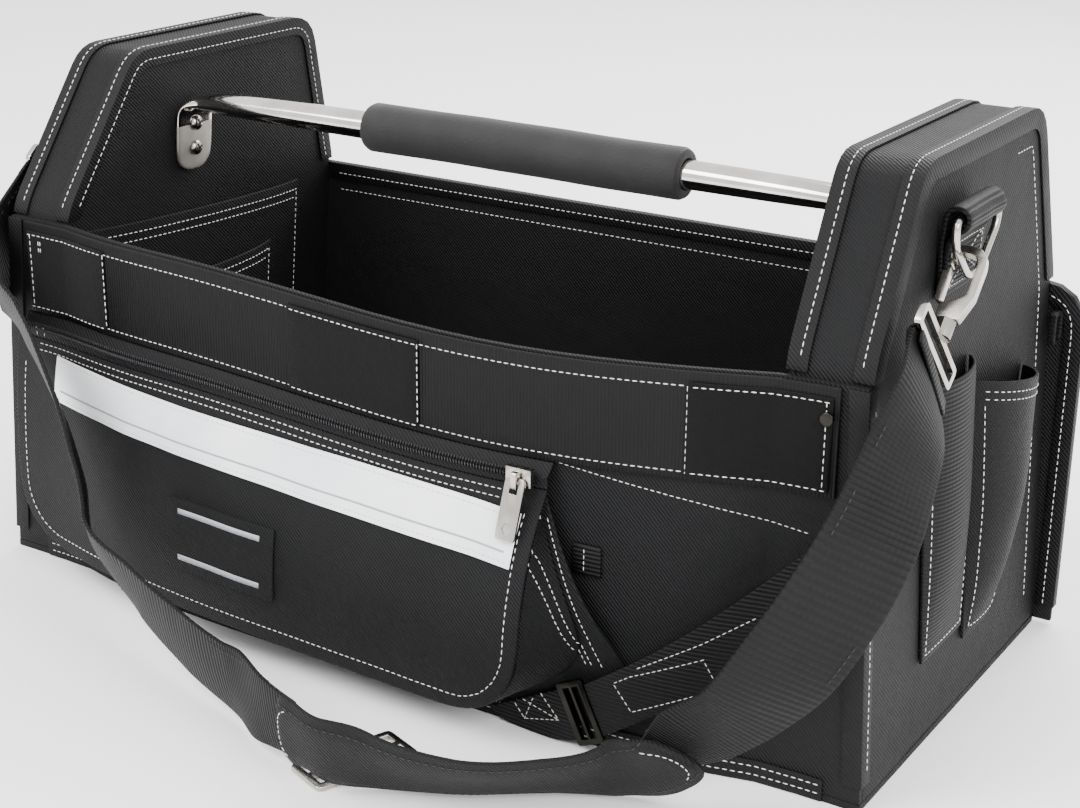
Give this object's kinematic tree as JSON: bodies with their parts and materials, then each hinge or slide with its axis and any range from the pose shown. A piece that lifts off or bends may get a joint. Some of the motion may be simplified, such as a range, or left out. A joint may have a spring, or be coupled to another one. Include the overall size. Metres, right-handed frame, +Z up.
{
  "type": "open top tool tote",
  "caption": "Open top tool tote of black twill with two tall padded ends, a tube handle with a foam grip, a zipped front pocket and a webbing shoulder strap.",
  "frame": {"origin": "middle of the underside of the base, on the floor", "axes": "+X along the length to the right, +Y to the back, +Z up"},
  "size_m": [0.5778, 0.3896, 0.2983],
  "materials": {
    "black_twill": "coarse polyester twill",
    "black_webbing": "ribbed webbing",
    "binding_tape": "grosgrain",
    "plush_patch": "loop fabric",
    "reflective_tape": "satin",
    "foam_grip": "closed cell foam",
    "chromed_tube": "polished",
    "nickel": "nickel plated"
  },
  "bodies": {
    "root": {"base_panel": "black_twill", "front_wall": "black_twill", "back_wall": "black_twill", "back_binding": "binding_tape", "base_binding": "binding_tape", "left_inner_panel": "black_twill", "left_outer_panel": "black_twill", "left_gusset": "black_twill", "left_inner_binding": "binding_tape", "left_outer_binding": "binding_tape", "left_corner_binding": "binding_tape", "right_inner_panel": "black_twill", "right_outer_panel": "black_twill", "right_gusset": "black_twill", "right_inner_binding": "binding_tape", "right_outer_binding": "binding_tape", "right_corner_binding": "binding_tape", "front_band": "black_webbing", "patch_left": "plush_patch", "patch_middle": "plush_patch", "patch_right": "plush_patch", "front_rivet": "nickel", "saw_sleeve_panel": "black_twill", "sleeve_tab": "black_webbing", "zip_pocket_panel": "black_twill", "zip_pocket_gusset": "black_twill", "zip_tape": "binding_tape", "zip_slider": "nickel", "reflective_stripe": "reflective_tape", "label_patch": "plush_patch", "saw_strap_anchor": "black_webbing", "saw_strap_ring": "nickel", "saw_strap": "black_webbing", "handle_tube": "chromed_tube", "left_screw_1": "nickel", "left_screw_2": "nickel", "right_screw_1": "nickel", "right_screw_2": "nickel", "handle_grip": "foam_grip", "left_d_ring": "nickel", "left_ring_tab": "black_webbing", "left_hook_body": "nickel", "left_hook_swivel": "nickel", "right_d_ring": "nickel", "right_ring_tab": "black_webbing", "right_hook_body": "nickel", "right_hook_swivel": "nickel", "shoulder_strap_left": "black_webbing", "strap_pad": "black_twill", "shoulder_strap_right": "black_webbing", "strap_slider": "nickel", "webbing_sleeve": "black_webbing", "rule_pocket": "black_twill", "inner_pocket_tall": "black_twill", "inner_pocket_low": "black_twill", "clip_loop": "black_webbing"},
    "zip_pull": {"zip_pull": "nickel"},
    "left_gate": {"left_hook_gate": "nickel"},
    "right_gate": {"right_hook_gate": "nickel"}
  },
  "joints": [
    {"name": "zip_pull_hinge", "type": "hinge", "parent": "root", "child": "zip_pull", "pos_m": [0.099, -0.15185, 0.13962], "axis": [-1, 0, 0], "range_deg": [0, 110]},
    {"name": "left_gate_hinge", "type": "hinge", "parent": "root", "child": "left_gate", "pos_m": [-0.26745, -0.05949, 0.23401], "axis": [0, -0.7071, 0.7071], "range_deg": [0, 20], "stiffness_Nm_per_rad": 0.02},
    {"name": "right_gate_hinge", "type": "hinge", "parent": "root", "child": "right_gate", "pos_m": [0.26809, -0.05949, 0.23401], "axis": [0, 0.7071, -0.7071], "range_deg": [0, 20], "stiffness_Nm_per_rad": 0.02}
  ]
}
